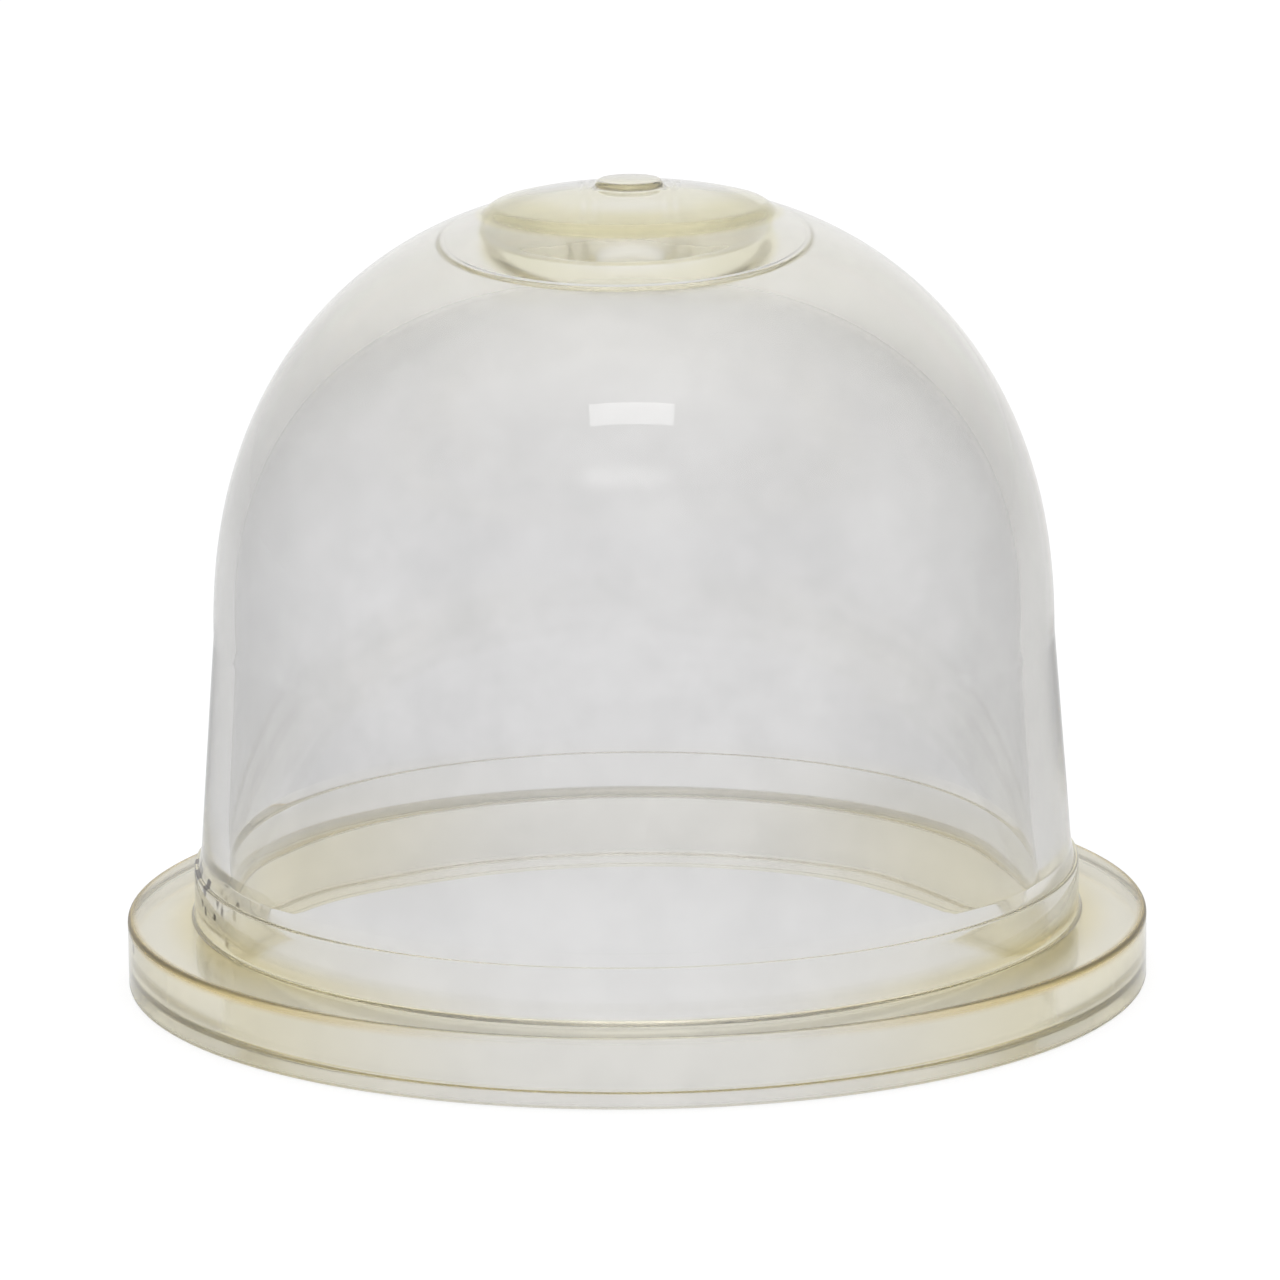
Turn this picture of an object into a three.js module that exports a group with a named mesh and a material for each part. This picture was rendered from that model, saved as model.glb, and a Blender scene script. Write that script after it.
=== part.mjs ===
// A primer bulb: the clear squeeze bulb that draws fuel into a small engine's carburettor.
// It is moulded in one piece: a round flange, a low collar and a domed bulb that is open underneath.
// Millimetres, +Z up, with the origin at the middle of the flange's flat underside.
import * as THREE from 'three';

// Flange, which a cover plate clamps down, and the collar that centres the plate's hole
const flangeDiameter = 22;
const flangeThickness = 1.5;
const flangeEdgeRadius = 0.1;
const flangeLip = 1.46;
const collarHeight = 1.1;
const collarFootRadius = 0.1;
const collarEdgeRadius = 0.04;
const collarLedge = 0.08;

// Bulb, outside: a short flare on the collar, a skirt that tapers in, and a full crown
const flareWidth = 0.08;
const flareHeight = 0.3;
const flareFootRadius = 0.03;
const flareTopRadius = 0.3;
const skirtHeight = 5.04;
const skirtTaper = 0.36;
const crownHeight = 9.5;
const crownFullness = 2.2;

// Button on top of the crown, and the gate mark in its middle
const buttonDiameter = 6.4;
const buttonEdge = 0.35;
const buttonRise = 0.1;
const gateDiameter = 1.6;
const gateEdge = 0.16;
const gateRise = 0.16;

// Hollow: a mouth that tapers in like the skirt, and a crown of its own with a flat ceiling
const collarWall = 0.64;
const springWall = 0.6;
const crownWall = 1.41;
const hollowFullness = 2.2;
const ceilingDiameter = 5.5;

// Fine raised line that the joint of the mould's core leaves round the ceiling
const coreLineDiameter = 7;
const coreLineWidth = 0.16;
const coreLineRise = 0.04;

// Steps that round stretches are drawn with
const turnSteps = 64;
const cornerSteps = 2;
const crownSteps = 12;
const hollowSteps = 11;
const easeSteps = 4;

// Heights and radii that follow from the sizes above
const flangeRadius = flangeDiameter / 2;
const collarRadius = flangeRadius - flangeLip;
const collarTop = flangeThickness + collarHeight;
const flareRadius = collarRadius - collarLedge;
const skirtFootRadius = flareRadius - flareWidth;
const crownRadius = skirtFootRadius - skirtTaper;
const springLine = collarTop + skirtHeight;
const mouthRadius = collarRadius - collarWall;
const hollowRadius = crownRadius - springWall;
const hollowHeight = crownHeight - crownWall;

// Height over the spring line of a crown whose fullness is 2 for an ellipse, and more when squarer
function crownRise(radius, base, height, fullness) {
  return height * Math.pow(1 - Math.pow(radius / base, fullness), 1 / fullness);
}

// Smooth step from 0 at the start of an edge to 1 at its end
function ease(part) {
  const t = Math.min(Math.max(part, 0), 1);
  return t * t * (3 - 2 * t);
}

// Point of a crown at an angle from the spring line, 0, to the top, a quarter turn
function crownPoint(angle, base, height, fullness) {
  const radius = base * Math.pow(Math.cos(angle), 2 / fullness);
  return new THREE.Vector2(radius, springLine + height * Math.pow(Math.sin(angle), 2 / fullness));
}

// Crown from the spring line up to the radius where the next feature starts
function crownCurve(base, height, fullness, endRadius, steps) {
  const end = Math.acos(Math.pow(endRadius / base, fullness / 2));
  const points = [];
  for (let k = 0; k <= steps; k += 1) {
    points.push(crownPoint((end * k) / steps, base, height, fullness));
  }
  return points;
}

// Corner between two straight legs, rounded by an arc that touches both
function roundedCorner(before, corner, after, radius) {
  const back = before.clone().sub(corner).normalize();
  const ahead = after.clone().sub(corner).normalize();
  const halfAngle = Math.acos(back.dot(ahead)) / 2;
  const reach = radius / Math.tan(halfAngle);
  const middle = back.clone().add(ahead).normalize();
  const centre = corner.clone().addScaledVector(middle, radius / Math.sin(halfAngle));
  const start = corner.clone().addScaledVector(back, reach).sub(centre);
  const end = corner.clone().addScaledVector(ahead, reach).sub(centre);
  const turn = Math.atan2(start.cross(end), start.dot(end));
  const points = [];
  for (let k = 0; k <= cornerSteps; k += 1) {
    const arm = start.clone().rotateAround(new THREE.Vector2(), (turn * k) / cornerSteps);
    points.push(centre.clone().add(arm));
  }
  return points;
}

// Flange, collar, flare and skirt, from the mouth's edge round the outside to the spring line
function lowerOutline() {
  const corners = [
    { at: new THREE.Vector2(mouthRadius, 0), radius: 0 },
    { at: new THREE.Vector2(flangeRadius, 0), radius: flangeEdgeRadius },
    { at: new THREE.Vector2(flangeRadius, flangeThickness), radius: flangeEdgeRadius },
    { at: new THREE.Vector2(collarRadius, flangeThickness), radius: collarFootRadius },
    { at: new THREE.Vector2(collarRadius, collarTop), radius: collarEdgeRadius },
    { at: new THREE.Vector2(flareRadius, collarTop), radius: flareFootRadius },
    { at: new THREE.Vector2(skirtFootRadius, collarTop + flareHeight), radius: flareTopRadius },
    { at: new THREE.Vector2(crownRadius, springLine), radius: 0 },
  ];
  const points = [corners[0].at];
  for (let k = 1; k < corners.length - 1; k += 1) {
    const { at, radius } = corners[k];
    points.push(...roundedCorner(corners[k - 1].at, at, corners[k + 1].at, radius));
  }
  return points;
}

// Top of the bulb, from the button's foot to the axis: crown, plus button, plus gate mark
function topOutline() {
  const buttonRadius = buttonDiameter / 2;
  const gateRadius = gateDiameter / 2;
  const radii = [];
  for (let k = 1; k <= easeSteps; k += 1) {
    radii.push(buttonRadius - (buttonEdge * k) / easeSteps);
  }
  const flat = radii[radii.length - 1] - gateRadius;
  for (let k = 1; k <= easeSteps; k += 1) {
    radii.push(gateRadius + flat * (1 - k / easeSteps));
  }
  for (let k = 1; k <= easeSteps; k += 1) {
    radii.push(gateRadius - (gateEdge * k) / easeSteps);
  }
  radii.push(0);
  return radii.map((radius) => {
    const button = buttonRise * ease((buttonRadius - radius) / buttonEdge);
    const gate = gateRise * ease((gateRadius - radius) / gateEdge);
    const crown = crownRise(radius, crownRadius, crownHeight, crownFullness);
    return new THREE.Vector2(radius, springLine + crown + button + gate);
  });
}

// Hollow from the middle of its ceiling down to the spring line, with the core's fine line on it
function hollowOutline() {
  const rise = (radius) => crownRise(radius, hollowRadius, hollowHeight, hollowFullness);
  const ceilingRadius = ceilingDiameter / 2;
  const lineRadius = coreLineDiameter / 2;
  const points = [new THREE.Vector2(0, springLine + rise(ceilingRadius))];
  points.push(new THREE.Vector2(ceilingRadius, springLine + rise(ceilingRadius)));
  const inner = lineRadius - coreLineWidth / 2;
  const outer = lineRadius + coreLineWidth / 2;
  points.push(new THREE.Vector2(inner, springLine + rise(inner)));
  points.push(new THREE.Vector2(lineRadius, springLine + rise(lineRadius) - coreLineRise));
  points.push(...crownCurve(hollowRadius, hollowHeight, hollowFullness, outer, hollowSteps).reverse());
  return points;
}

// Section of the bulb, from the ceiling's middle down the inside and up the outside to the top
const buttonFoot = buttonDiameter / 2;
const outsideCrown = crownCurve(crownRadius, crownHeight, crownFullness, buttonFoot, crownSteps);
const section = [...hollowOutline(), ...lowerOutline(), ...outsideCrown, ...topOutline()];
const bulbShape = new THREE.LatheGeometry(section, turnSteps);
bulbShape.rotateX(Math.PI / 2);

// Clear cast polyurethane, slightly yellowed with age
const clearPolyurethane = new THREE.MeshStandardMaterial({
  color: 0xdcdcd2,
  roughness: 0.12,
  metalness: 0,
  transparent: true,
  opacity: 0.4,
});

const bulb = new THREE.Mesh(bulbShape, clearPolyurethane);
bulb.name = 'primer_bulb';

const primerBulb = new THREE.Group();
primerBulb.add(bulb);

export default primerBulb;
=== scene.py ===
"""A clear primer bulb on a pale floor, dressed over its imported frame. Metres, +Z up."""
import math

import bmesh
import bpy
from mathutils import Euler, Matrix, Vector


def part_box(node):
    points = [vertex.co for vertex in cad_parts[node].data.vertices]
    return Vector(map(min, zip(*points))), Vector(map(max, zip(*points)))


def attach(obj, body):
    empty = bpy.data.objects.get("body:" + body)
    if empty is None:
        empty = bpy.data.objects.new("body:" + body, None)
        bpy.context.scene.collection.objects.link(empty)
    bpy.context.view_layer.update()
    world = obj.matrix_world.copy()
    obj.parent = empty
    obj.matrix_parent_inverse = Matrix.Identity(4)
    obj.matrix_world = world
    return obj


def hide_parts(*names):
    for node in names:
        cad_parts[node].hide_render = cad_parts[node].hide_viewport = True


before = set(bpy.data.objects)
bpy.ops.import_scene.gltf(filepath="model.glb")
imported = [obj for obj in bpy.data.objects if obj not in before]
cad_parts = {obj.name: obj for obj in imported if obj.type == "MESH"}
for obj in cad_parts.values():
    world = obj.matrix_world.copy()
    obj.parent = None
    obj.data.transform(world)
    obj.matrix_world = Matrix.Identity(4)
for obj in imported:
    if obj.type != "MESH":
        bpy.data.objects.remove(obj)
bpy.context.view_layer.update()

MM = 0.001
FOOT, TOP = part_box("primer_bulb")

# Flange and collar, as the frame has them
FLANGE_RADIUS = (TOP[0] - FOOT[0]) / 2
FLANGE_THICKNESS = 1.5 * MM
FLANGE_EDGE = 0.1 * MM
COLLAR_RADIUS = FLANGE_RADIUS - 1.46 * MM
COLLAR_TOP = FLANGE_THICKNESS + 1.1 * MM
COLLAR_FOOT_ROUND = 0.1 * MM
COLLAR_EDGE = 0.04 * MM

# Skirt, crown, button and gate mark
FLARE_RADIUS = COLLAR_RADIUS - 0.08 * MM
FLARE_TOP = COLLAR_TOP + 0.3 * MM
FLARE_FOOT_ROUND = 0.03 * MM
FLARE_TOP_ROUND = 0.3 * MM
SKIRT_RADIUS = FLARE_RADIUS - 0.08 * MM
CROWN_RADIUS = SKIRT_RADIUS - 0.36 * MM
CROWN_HEIGHT = 9.5 * MM
FULLNESS = 2.2
SPRING_LINE = COLLAR_TOP + 5.04 * MM
BUTTON_RADIUS = 3.2 * MM
BUTTON_EDGE = 0.35 * MM
BUTTON_RISE = 0.1 * MM
GATE_RADIUS = 0.8 * MM
GATE_EDGE = 0.16 * MM
GATE_RISE = 0.16 * MM

# Hollow, with its flat ceiling and the fine line of the mould's core
MOUTH_RADIUS = COLLAR_RADIUS - 0.64 * MM
HOLLOW_RADIUS = CROWN_RADIUS - 0.6 * MM
HOLLOW_HEIGHT = CROWN_HEIGHT - 1.41 * MM
CEILING_RADIUS = 2.75 * MM
CORE_LINE_RADIUS = 3.5 * MM
CORE_LINE_HALF = 0.05 * MM
CORE_LINE_RISE = 0.03 * MM
CORE_SHIFT = -0.1 * MM
CORE_SHIFT_HEIGHT = 4 * MM
CORE_SIDE = "core_side"
GROOVE_SIDE = (0.78 * MM, 1.02 * MM)
GROOVE_WIDTH = 0.07 * MM
GROOVE_DEPTH = 0.03 * MM
GROOVE_ENDS = (-2.7 * MM, 1.2 * MM)
GROOVE_FADE = 0.5 * MM

# How finely the surface is drawn, and what counts as an edge on it
TURN_STEPS = 192
STEP = 0.12 * MM
TOP_STEP = 0.04 * MM
CORNER_STEPS = 6
EDGE_ANGLE = math.radians(16)
ON_AXIS = 1e-9


def linear(hex_colour):
    """The linear colour, with alpha, of an sRGB hex value."""
    parts = [int(hex_colour[k:k + 2], 16) / 255 for k in (1, 3, 5)]
    return tuple(p / 12.92 if p <= 0.04045 else ((p + 0.055) / 1.055) ** 2.4 for p in parts) + (1.0,)


def crown_rise(radius, base, height):
    """How far a crown stands over the spring line at a radius."""
    return height * (1 - (radius / base) ** FULLNESS) ** (1 / FULLNESS)


def ease(part):
    """Smooth step from 0 to 1."""
    t = min(max(part, 0.0), 1.0)
    return t * t * (3 - 2 * t)


def outside_height(radius):
    """Height of the bulb's outside above the floor over a radius on the crown."""
    button = BUTTON_RISE * ease((BUTTON_RADIUS - radius) / BUTTON_EDGE)
    gate = GATE_RISE * ease((GATE_RADIUS - radius) / GATE_EDGE)
    return SPRING_LINE + crown_rise(radius, CROWN_RADIUS, CROWN_HEIGHT) + button + gate


def rounded_corner(before, corner, after, radius):
    """Points of the arc that rounds a corner between two straight legs."""
    back = (before - corner).normalized()
    ahead = (after - corner).normalized()
    half = back.angle(ahead) / 2
    centre = corner + (back + ahead).normalized() * (radius / math.sin(half))
    start = corner + back * (radius / math.tan(half)) - centre
    end = corner + ahead * (radius / math.tan(half)) - centre
    turn = math.atan2(start.x * end.y - start.y * end.x, start.dot(end))
    points = []
    for k in range(CORNER_STEPS + 1):
        cos, sin = math.cos(turn * k / CORNER_STEPS), math.sin(turn * k / CORNER_STEPS)
        points.append(centre + Vector((start.x * cos - start.y * sin, start.x * sin + start.y * cos)))
    return points


def fine_steps(points):
    """The same line with no step longer than STEP, so that light bends evenly along it."""
    fine = [points[0]]
    for start, end in zip(points, points[1:]):
        count = max(1, math.ceil((end - start).length / STEP))
        fine += [start.lerp(end, k / count) for k in range(1, count + 1)]
    return fine


def crown_line(base, height, end_radius):
    """A crown's line from the spring line up to a radius."""
    end = math.acos((end_radius / base) ** (FULLNESS / 2))
    count = math.ceil(end * base / STEP)
    points = []
    for k in range(count + 1):
        angle = end * k / count
        radius = base * math.cos(angle) ** (2 / FULLNESS)
        points.append(Vector((radius, SPRING_LINE + height * math.sin(angle) ** (2 / FULLNESS))))
    return points


def inside_line():
    """The hollow, from the middle of its ceiling down to the mouth."""
    ceiling = SPRING_LINE + crown_rise(CEILING_RADIUS, HOLLOW_RADIUS, HOLLOW_HEIGHT)
    points = fine_steps([Vector((0, ceiling)), Vector((CEILING_RADIUS, ceiling))])
    dome = crown_line(HOLLOW_RADIUS, HOLLOW_HEIGHT, CEILING_RADIUS)[::-1]
    for point in dome[1:]:
        off = abs(point.x - CORE_LINE_RADIUS) / CORE_LINE_HALF
        if off > 1:
            points.append(point)
        elif points[-1].x < CORE_LINE_RADIUS - CORE_LINE_HALF:
            points += core_line()
    return points + fine_steps([points[-1], Vector((MOUTH_RADIUS, 0))])[1:]


def core_line():
    """The fine raised line that the joint of the mould's core leaves round the ceiling."""
    points = []
    for side, rise in ((-1, 0), (0, CORE_LINE_RISE), (1, 0)):
        radius = CORE_LINE_RADIUS + side * CORE_LINE_HALF
        height = SPRING_LINE + crown_rise(radius, HOLLOW_RADIUS, HOLLOW_HEIGHT)
        points.append(Vector((radius, height - rise)))
    return points


def outside_line():
    """Underside, flange, collar, flare, skirt and crown, from the mouth up to the middle of the top."""
    corners = [
        (Vector((MOUTH_RADIUS, 0)), 0),
        (Vector((FLANGE_RADIUS, 0)), FLANGE_EDGE),
        (Vector((FLANGE_RADIUS, FLANGE_THICKNESS)), FLANGE_EDGE),
        (Vector((COLLAR_RADIUS, FLANGE_THICKNESS)), COLLAR_FOOT_ROUND),
        (Vector((COLLAR_RADIUS, COLLAR_TOP)), COLLAR_EDGE),
        (Vector((FLARE_RADIUS, COLLAR_TOP)), FLARE_FOOT_ROUND),
        (Vector((SKIRT_RADIUS, FLARE_TOP)), FLARE_TOP_ROUND),
        (Vector((CROWN_RADIUS, SPRING_LINE)), 0),
    ]
    points = [corners[0][0]]
    for k in range(1, len(corners) - 1):
        points += rounded_corner(corners[k - 1][0], corners[k][0], corners[k + 1][0], corners[k][1])
    points.append(corners[-1][0])
    points = fine_steps(points)
    points += crown_line(CROWN_RADIUS, CROWN_HEIGHT, BUTTON_RADIUS)[1:]
    radius = BUTTON_RADIUS
    while radius > 0:
        radius = max(0.0, radius - TOP_STEP)
        points.append(Vector((radius, outside_height(radius))))
    return points


def groove_depth(x, y):
    """How deep the faint grooves across the button are at a place on it."""
    along = ease((y - GROOVE_ENDS[0]) / GROOVE_FADE) * ease((GROOVE_ENDS[1] - y) / GROOVE_FADE)
    across = sum(math.exp(-((abs(x) - side) / GROOVE_WIDTH) ** 2) for side in GROOVE_SIDE)
    return GROOVE_DEPTH * along * across


def turned(name, inside, outside):
    """A mesh turned round Z from the two lines, its hollow a little off the middle, with its edges sharp."""
    mesh = bpy.data.meshes.new(name)
    shape = bmesh.new()
    rings = []
    turns = [2 * math.pi * k / TURN_STEPS for k in range(TURN_STEPS)]
    for index, (radius, height) in enumerate(inside + outside[1:]):
        shift = CORE_SHIFT * ease(height / CORE_SHIFT_HEIGHT) if index < len(inside) else 0.0
        if radius < ON_AXIS:
            rings.append([shape.verts.new((shift, 0, height))] * TURN_STEPS)
            continue
        ring = [(shift + radius * math.cos(a), radius * math.sin(a), height) for a in turns]
        rings.append([shape.verts.new(point) for point in ring])
    for lower, upper in zip(rings, rings[1:]):
        for k in range(TURN_STEPS):
            j = (k + 1) % TURN_STEPS
            face = [lower[k], lower[j], upper[j], upper[k]]
            shape.faces.new(list(dict.fromkeys(face)))
    for face in shape.faces:
        face.smooth = True
    for edge in shape.edges:
        edge.smooth = edge.calc_face_angle(0) < EDGE_ANGLE
    core_points = sum(len(set(ring)) for ring in rings[:len(inside) - 1])
    for ring in rings[len(inside):]:
        for point in ring:
            if point.co.z > SPRING_LINE and GATE_RADIUS < point.co.xy.length < BUTTON_RADIUS:
                point.co.z -= groove_depth(point.co.x, point.co.y)
    shape.to_mesh(mesh)
    shape.free()
    core_side = mesh.attributes.new(CORE_SIDE, "FLOAT", "POINT")
    core_side.data.foreach_set("value", [float(k < core_points) for k in range(len(mesh.vertices))])
    piece = bpy.data.objects.new(name, mesh)
    bpy.context.scene.collection.objects.link(piece)
    return piece


def bare_tree(owner):
    """The node tree of a material or a world, emptied."""
    owner.use_nodes = True
    owner.node_tree.nodes.clear()
    return owner.node_tree


def add_node(tree, kind, inputs=(), **settings):
    """Adds a node. Each input, by place or name, is a value, an output or a node, for its first output."""
    node = tree.nodes.new(kind)
    for key, value in settings.items():
        setattr(node, key, value)
    for key, value in inputs.items() if isinstance(inputs, dict) else enumerate(inputs):
        if isinstance(value, bpy.types.Node):
            value = value.outputs[0]
        if isinstance(value, bpy.types.NodeSocket):
            tree.links.new(value, node.inputs[key])
        else:
            node.inputs[key].default_value = value
    return node


def from_axis(tree, place):
    """How far a place is from the Z axis."""
    flat = add_node(tree, "ShaderNodeVectorMath", (place, (1, 1, 0)), operation="MULTIPLY")
    return add_node(tree, "ShaderNodeVectorMath", (flat,), operation="LENGTH").outputs["Value"]


def region(tree, *bounds):
    """1 where each number is past its range, and easing up from 0 in it: a number, its start and its end."""
    share = 1.0
    for bound in bounds:
        eased = add_node(tree, "ShaderNodeMapRange", bound, interpolation_type="SMOOTHSTEP")
        share = add_node(tree, "ShaderNodeMath", (share, eased), operation="MULTIPLY")
    return share


# Aged clear polyurethane: amber by the length of the light's way through it, under a thin grey skin with
# painted shade that darkens it steeply at a slant, along the walls and the outline, and a little more where
# it is smeared
REFRACTION = 1.5
CLEARNESS = 0.97
AMBER = "#FCF9E8"
AMBER_PER_METRE = 165.0
SKIN_TINT = "#F9F9FB"
SKIN_CLEAR = 0.94
SLANT_SHADE_GRAZING = 1.02
SMEAR_SIZE = 1.5 * MM
VEIL_SMEARS = (0.35, 0.65)
VEIL = (1.0, 0.95)

# Marks on the skin: a stain left by old fuel at the foot, painted amber shade on the flange's rim and round
# the collar, stronger at the left and right sides, and painted amber shade on the button
OLD_FUEL = "#FFF8D6"
OLD_FUEL_HEIGHT = (3.2 * MM, 2.2 * MM)
RIM_AMBER_SHADE = "#F2D484"
RIM_BAND = (0.26 * MM, 0.065 * MM)
RIM_REACH = tuple(FLANGE_RADIUS - band for band in RIM_BAND)
RIM_HEIGHT = tuple(FLANGE_THICKNESS - band for band in RIM_BAND)
FOOT_AMBER_SHADE = "#F7EFCC"
FOOT_REACH = (COLLAR_RADIUS + 0.9 * MM, COLLAR_RADIUS)
FOOT_HEIGHT = (FLANGE_THICKNESS + 0.5 * MM, FLANGE_THICKNESS)
AMBER_SHADE_SIDES = (2 * MM, 9 * MM)
AMBER_SHADE_SIDES_SHARE = (0.05, 1.0)
BUTTON_AMBER_SHADE = "#F6F1CC"
BUTTON_MIDDLE = (0.5 * BUTTON_RADIUS, 0.8 * BUTTON_RADIUS)
BUTTON_RIM = (1.05 * BUTTON_RADIUS, BUTTON_RADIUS)
BUTTON_HEIGHT = (SPRING_LINE + HOLLOW_HEIGHT, SPRING_LINE + HOLLOW_HEIGHT + 0.5 * MM)

# Roughness, each with where it holds: in the hollow's crown, at the foot and on the flange's edges
POLISH = (0.01, 0.04)
POLISH_SMEARS = (0.35, 0.75)
CORE_FINISH = (0.02, 0.12)
CORE_HEIGHT = (8 * MM, 11 * MM)
FOOT_FINISH = 0.08
FOOT_FINISH_HEIGHT = (COLLAR_TOP + 0.2 * MM, COLLAR_TOP - 0.2 * MM)
EDGE_FINISH = 0.3
EDGE_OFF_MIDDLE = tuple(FLANGE_THICKNESS / 2 - band for band in RIM_BAND)

# Flecks of dried dirt on the left: azimuth in degrees, then radius, height and size in millimetres
DIRT = "#1C1206"
DIRT_FLECKS = (
    (181, 9.5, 2.6, 0.24), (187, 9.5, 2.6, 0.3), (189, 9.5, 2.62, 0.2), (195, 9.5, 2.6, 0.2),
    (193.6, 9.54, 2.2, 0.1), (195.5, 9.54, 2.1, 0.1), (199.9, 9.54, 2.15, 0.1), (191.7, 11.0, 1.21, 0.12),
    (211.9, 9.12, 8.8, 0.05), (236, 9.15, 8.2, 0.04), (251, 6.9, 15.4, 0.05),
)
DIRT_EDGE = (1.7, 1.4)
RAGGED_SIZE = 0.1 * MM
RAGGED_SHARE = 1.2
NO_DIRT = 1000.0


def dirt_share(tree, place):
    """1 on the flecks of dirt, whose edges are ragged, and 0 elsewhere."""
    nearest = NO_DIRT
    for azimuth, radius, height, size in DIRT_FLECKS:
        turn = math.radians(azimuth)
        spot = Vector((radius * math.cos(turn), radius * math.sin(turn), height)) * MM
        away = add_node(tree, "ShaderNodeVectorMath", (place, spot), operation="DISTANCE").outputs["Value"]
        edge = add_node(tree, "ShaderNodeMath", (away, size * MM), operation="DIVIDE")
        nearest = add_node(tree, "ShaderNodeMath", (nearest, edge), operation="MINIMUM")
    ragged = add_node(tree, "ShaderNodeTexNoise", {"Vector": place, "Scale": 1 / RAGGED_SIZE, "Detail": 2})
    reach = add_node(tree, "ShaderNodeMath", (ragged, RAGGED_SHARE, nearest), operation="MULTIPLY_ADD")
    return region(tree, (reach, *DIRT_EDGE))


def moulded_finish(tree, smears, reach, height):
    """Roughness: polished, satin in the hollow's crown, softer at the foot, dull on the flange's edges."""
    polished = add_node(
        tree, "ShaderNodeMapRange", (smears, *POLISH_SMEARS, *POLISH), interpolation_type="SMOOTHSTEP"
    )
    satin = add_node(
        tree, "ShaderNodeMapRange", (height, *CORE_HEIGHT, *CORE_FINISH), interpolation_type="SMOOTHSTEP"
    )
    core_side = add_node(tree, "ShaderNodeAttribute", attribute_name=CORE_SIDE).outputs["Fac"]
    finish = add_node(tree, "ShaderNodeMix", {0: core_side, 2: polished, 3: satin}, data_type="FLOAT")
    foot = region(tree, (height, *FOOT_FINISH_HEIGHT))
    over_middle = add_node(tree, "ShaderNodeMath", (height, FLANGE_THICKNESS / 2), operation="SUBTRACT")
    off_middle = add_node(tree, "ShaderNodeMath", (over_middle,), operation="ABSOLUTE")
    edge = region(tree, (off_middle, *EDGE_OFF_MIDDLE), (reach, *RIM_REACH))
    for share, roughness in ((foot, FOOT_FINISH), (edge, EDGE_FINISH)):
        rougher = add_node(tree, "ShaderNodeMath", (share, roughness), operation="MULTIPLY")
        finish = add_node(tree, "ShaderNodeMath", (finish, rougher), operation="MAXIMUM")
    return finish


def aged_tint_and_painted_shade(tree, place, smears, reach, height):
    """Colour of the skin: grey, darkened at a slant by painted shade, with a stain of old fuel, painted
    amber shade and flecks of dirt laid over it.
    """
    # Painted shade: the skin's grey deepens steeply towards a slant, for the dark bands along the walls and
    # the dark outline
    facing = add_node(tree, "ShaderNodeLayerWeight", {"Blend": 0.5}).outputs["Facing"]
    towards = add_node(tree, "ShaderNodeMath", (SLANT_SHADE_GRAZING, facing), operation="SUBTRACT")
    slant = add_node(tree, "ShaderNodeMath", (1.0, towards), operation="DIVIDE")
    skin = add_node(tree, "ShaderNodeMath", (SKIN_CLEAR, slant), operation="POWER")
    veil = add_node(
        tree, "ShaderNodeMapRange", (smears, *VEIL_SMEARS, *VEIL), interpolation_type="SMOOTHSTEP"
    )
    across = add_node(tree, "ShaderNodeSeparateXYZ", (place,)).outputs["X"]
    aside = add_node(tree, "ShaderNodeMath", (across,), operation="ABSOLUTE")
    # Painted shade: the amber on the rim and the collar's foot grows towards the left and right sides
    sides = add_node(
        tree, "ShaderNodeMapRange", (aside, *AMBER_SHADE_SIDES, *AMBER_SHADE_SIDES_SHARE), interpolation_type="SMOOTHSTEP"
    )
    foot = region(tree, (reach, *FOOT_REACH), (height, *FOOT_HEIGHT))
    # Painted shade: an amber ring on the button's top, for the amber that light takes on its long way
    # through the crown
    button = region(tree, (reach, *BUTTON_MIDDLE), (reach, *BUTTON_RIM), (height, *BUTTON_HEIGHT))
    stains_and_painted_shade = (
        (SKIN_TINT, 1.0, 1.0),
        (OLD_FUEL, region(tree, (height, *OLD_FUEL_HEIGHT)), facing),
        (RIM_AMBER_SHADE, region(tree, (reach, *RIM_REACH), (height, *RIM_HEIGHT)), sides),
        (FOOT_AMBER_SHADE, foot, sides),
        (BUTTON_AMBER_SHADE, button, 1.0),
        (DIRT, dirt_share(tree, place), 1.0),
    )
    tint = add_node(tree, "ShaderNodeMath", (skin, veil), operation="MULTIPLY").outputs[0]
    for colour, where, strength in stains_and_painted_shade:
        share = add_node(tree, "ShaderNodeMath", (where, strength), operation="MULTIPLY")
        inputs = {0: share, 6: tint, 7: linear(colour)}
        tint = add_node(tree, "ShaderNodeMix", inputs, data_type="RGBA", blend_type="MULTIPLY").outputs[2]
    return tint


def aged_clear_polyurethane():
    """Clear polyurethane, moulded glossy: grey at its slanting sides by painted shade, amber where light
    runs far in it, with painted amber shade on the rim, the collar's foot and the button.
    """
    material = bpy.data.materials.new("aged_clear_polyurethane")
    tree = bare_tree(material)
    place = add_node(tree, "ShaderNodeTexCoord").outputs["Object"]
    height = add_node(tree, "ShaderNodeSeparateXYZ", (place,)).outputs["Z"]
    reach = from_axis(tree, place)
    smears = add_node(
        tree, "ShaderNodeTexNoise", {"Vector": place, "Scale": 1 / SMEAR_SIZE, "Detail": 4, "Roughness": 0.6}
    )
    surface = add_node(tree, "ShaderNodeBsdfPrincipled", {
        "Base Color": aged_tint_and_painted_shade(tree, place, smears, reach, height),
        "Roughness": moulded_finish(tree, smears, reach, height),
        "IOR": REFRACTION,
        "Transmission Weight": CLEARNESS,
    })
    inside = add_node(
        tree, "ShaderNodeVolumeAbsorption", {"Color": linear(AMBER), "Density": AMBER_PER_METRE}
    )
    add_node(tree, "ShaderNodeOutputMaterial", {"Surface": surface, "Volume": inside})
    return material


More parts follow.
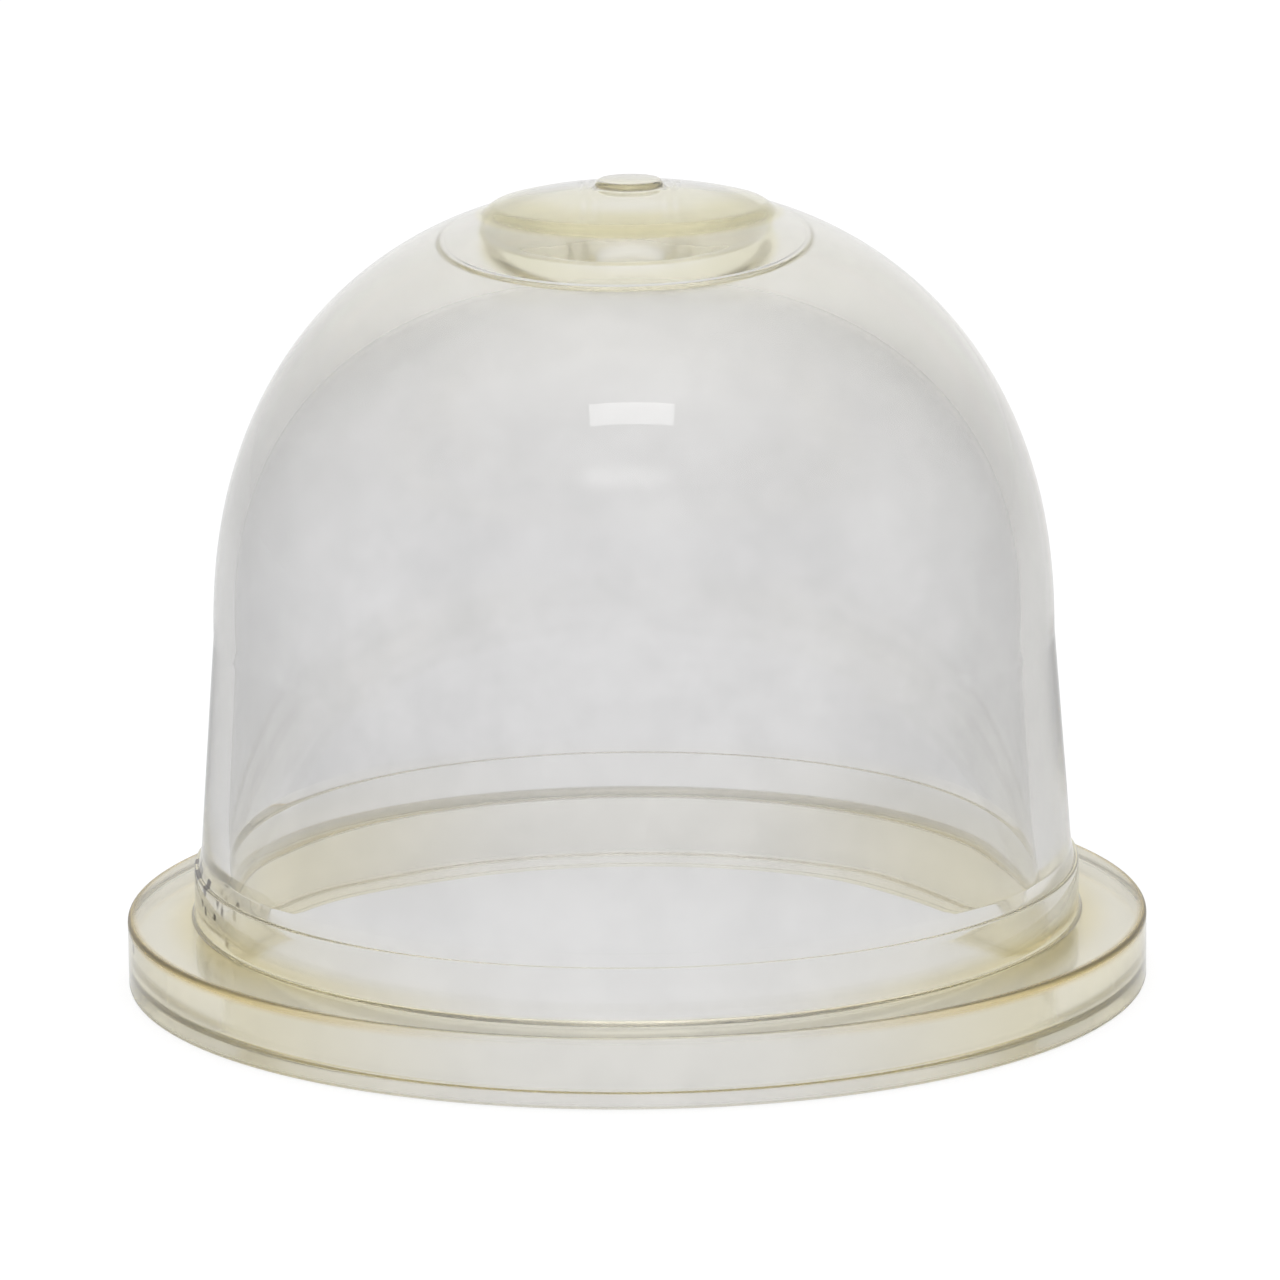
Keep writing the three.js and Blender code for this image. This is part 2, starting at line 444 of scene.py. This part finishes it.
# The room: four broad bright sides, with dimmer corners between them. The glass sees a paper a little
# under white. One strip lamp in front and above gives the glint on the crown
WHITE = (1, 1, 1, 1)
CORNER_SHARE = (0.36, 0.95)
CORNER_LEVEL = 0.73
SIDEWAYS = (0.3, 0.8)
HORIZON = (0.0, 0.2)
HORIZON_LEVEL = 0.93
OVERHEAD = (0.15, 0.6)
OVERHEAD_LEVEL = 1.5
PAPER_LEVEL = 0.7
PAPER_NEAR = (FLANGE_RADIUS, 2 * FLANGE_RADIUS)
FLOOR_TONE = 0.25
FLOOR_LIFT = 0.8
FLOOR_HALF = 1.5
FLOOR_DROP = 0.02 * MM
LAMP_AWAY = 0.25
LAMP_RISE = math.radians(60)
LAMP_SIZE = (0.09, 0.03)
LAMP_LEVEL = 3.0


def four_sides(tree, place, reach):
    """1 straight along X and Y, falling to CORNER_LEVEL in the four corners between, by azimuth alone."""
    x, y, _ = add_node(tree, "ShaderNodeSeparateXYZ", (place,)).outputs
    product = add_node(tree, "ShaderNodeMath", (x, y), operation="MULTIPLY")
    size = add_node(tree, "ShaderNodeMath", (product,), operation="ABSOLUTE")
    square = add_node(tree, "ShaderNodeMath", (reach, reach), operation="MULTIPLY")
    half = add_node(tree, "ShaderNodeMath", (size, square), operation="DIVIDE")
    corner = add_node(tree, "ShaderNodeMath", (half, 2.0), operation="MULTIPLY")
    levels = (corner, *CORNER_SHARE, 1.0, CORNER_LEVEL)
    return add_node(tree, "ShaderNodeMapRange", levels, interpolation_type="SMOOTHSTEP")


def white_paper():
    """Matt white paper: it shows white, keeps the bulb's shadow, and the bulb shows it a little darker."""
    material = bpy.data.materials.new("white_paper")
    tree = bare_tree(material)
    place = add_node(tree, "ShaderNodeNewGeometry").outputs["Position"]
    reach = from_axis(tree, place)
    level = four_sides(tree, place, reach)
    beyond = region(tree, (reach, *PAPER_NEAR))
    tone = add_node(tree, "ShaderNodeMix", {0: beyond, 2: 1.0, 3: level}, data_type="FLOAT")
    dimmed = add_node(tree, "ShaderNodeMath", (tone, PAPER_LEVEL), operation="MULTIPLY")
    rays = add_node(tree, "ShaderNodeLightPath").outputs
    in_glass = (rays["Is Glossy Ray"], rays["Is Transmission Ray"])
    through = add_node(tree, "ShaderNodeMath", in_glass, operation="MAXIMUM")
    in_bulb = add_node(tree, "ShaderNodeMath", (through, dimmed), operation="MULTIPLY")
    to_eye = add_node(tree, "ShaderNodeMath", (rays["Is Camera Ray"], FLOOR_LIFT), operation="MULTIPLY")
    lift = add_node(tree, "ShaderNodeMath", (in_bulb, to_eye), operation="MAXIMUM")
    glow = add_node(tree, "ShaderNodeEmission", {"Color": WHITE, "Strength": lift})
    paper = add_node(tree, "ShaderNodeBsdfDiffuse", {"Color": (FLOOR_TONE,) * 3 + (1,)})
    both = add_node(tree, "ShaderNodeAddShader", (glow, paper))
    add_node(tree, "ShaderNodeOutputMaterial", {"Surface": both})
    return material


def white_floor():
    """A flat sheet just under the flange."""
    mesh = bpy.data.meshes.new("floor")
    corners = [(-1, -1), (1, -1), (1, 1), (-1, 1)]
    mesh.from_pydata([(x * FLOOR_HALF, y * FLOOR_HALF, -FLOOR_DROP) for x, y in corners], [], [(0, 1, 2, 3)])
    floor = bpy.data.objects.new("floor", mesh)
    floor.data.materials.append(white_paper())
    bpy.context.scene.collection.objects.link(floor)


def studio_room():
    """World light: four white sides, dimmer corners, a brighter overhead, and plain white to the eye."""
    world = bpy.data.worlds.new("studio_room")
    bpy.context.scene.world = world
    tree = bare_tree(world)
    way = add_node(tree, "ShaderNodeTexCoord").outputs["Generated"]
    height = add_node(tree, "ShaderNodeSeparateXYZ", (way,)).outputs["Z"]
    reach = from_axis(tree, way)
    horizon = add_node(
        tree, "ShaderNodeMapRange", (height, *HORIZON, HORIZON_LEVEL, 1.0), interpolation_type="SMOOTHSTEP"
    )
    upper = add_node(
        tree, "ShaderNodeMapRange", (height, *OVERHEAD, 1.0, OVERHEAD_LEVEL), interpolation_type="SMOOTHSTEP"
    )
    overhead = add_node(tree, "ShaderNodeMath", (horizon, upper), operation="MULTIPLY")
    sideways = region(tree, (reach, *SIDEWAYS))
    sides = four_sides(tree, way, reach)
    room = add_node(tree, "ShaderNodeMix", {0: sideways, 2: overhead, 3: sides}, data_type="FLOAT")
    camera = add_node(tree, "ShaderNodeLightPath").outputs["Is Camera Ray"]
    strength = add_node(tree, "ShaderNodeMath", (camera, room), operation="MAXIMUM")
    light = add_node(tree, "ShaderNodeBackground", {"Color": WHITE, "Strength": strength})
    add_node(tree, "ShaderNodeOutputWorld", {"Surface": light})


def strip_lamp():
    """A small strip of light in front and above, seen as the one glint on the crown."""
    lamp = bpy.data.lights.new("strip_lamp", "AREA")
    lamp.shape = "RECTANGLE"
    lamp.size, lamp.size_y = LAMP_SIZE
    lamp.energy = LAMP_LEVEL * math.pi * LAMP_SIZE[0] * LAMP_SIZE[1]
    strip = bpy.data.objects.new("strip_lamp", lamp)
    bpy.context.scene.collection.objects.link(strip)
    aim = Vector((0, -math.cos(LAMP_RISE), math.sin(LAMP_RISE)))
    strip.location = Vector((0, 0, SPRING_LINE)) + aim * LAMP_AWAY
    strip.rotation_euler = aim.to_track_quat("Z", "Y").to_euler()


# The camera that the photograph's ellipses give: frame in pixels, distance in metres
PHOTO_SIZE = 1280
PHOTO_FOCAL = 8300.0
PHOTO_BASE = (637.5, 971.2)
CAMERA_AWAY = 0.18
CAMERA_RISE = math.radians(14.95)
CAMERA_ROLL = math.radians(0.6)
SENSOR = 36.0
NEAREST_SEEN = 0.01


def photo_camera():
    """A camera at the photograph's angle, with the flange's middle at its place in the frame."""
    lens = bpy.data.cameras.new("camera")
    camera = bpy.data.objects.new("camera", lens)
    bpy.context.scene.collection.objects.link(camera)
    across, down = (place - PHOTO_SIZE / 2 for place in PHOTO_BASE)
    cos, sin = math.cos(CAMERA_ROLL), math.sin(CAMERA_ROLL)
    pitch = CAMERA_RISE - math.atan((down * cos + across * sin) / PHOTO_FOCAL)
    yaw = math.atan((across * cos - down * sin) / PHOTO_FOCAL)
    camera.location = (0, -CAMERA_AWAY * math.cos(CAMERA_RISE), CAMERA_AWAY * math.sin(CAMERA_RISE))
    level = Euler((math.pi / 2 - pitch, 0, yaw)).to_matrix()
    camera.rotation_euler = (level @ Matrix.Rotation(-CAMERA_ROLL, 3, "Z")).to_euler()
    lens.sensor_width = SENSOR
    lens.lens = SENSOR * PHOTO_FOCAL / PHOTO_SIZE
    lens.clip_start = NEAREST_SEEN
    bpy.context.scene.camera = camera


# Light turns this often inside the plastic before it is lost
LIGHT_BOUNCES = 20


def main():
    """The bulb on its paper, in its room and before its camera."""
    photo_camera()
    white_floor()
    studio_room()
    strip_lamp()
    bulb = turned("clear_bulb", inside_line(), outside_line())
    bulb.data.materials.append(aged_clear_polyurethane())
    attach(bulb, "root")
    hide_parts("primer_bulb")
    scene = bpy.context.scene
    scene.view_settings.view_transform = "Standard"
    scene.cycles.max_bounces = LIGHT_BOUNCES
    scene.cycles.transmission_bounces = LIGHT_BOUNCES
    scene.cycles.glossy_bounces = LIGHT_BOUNCES


main()
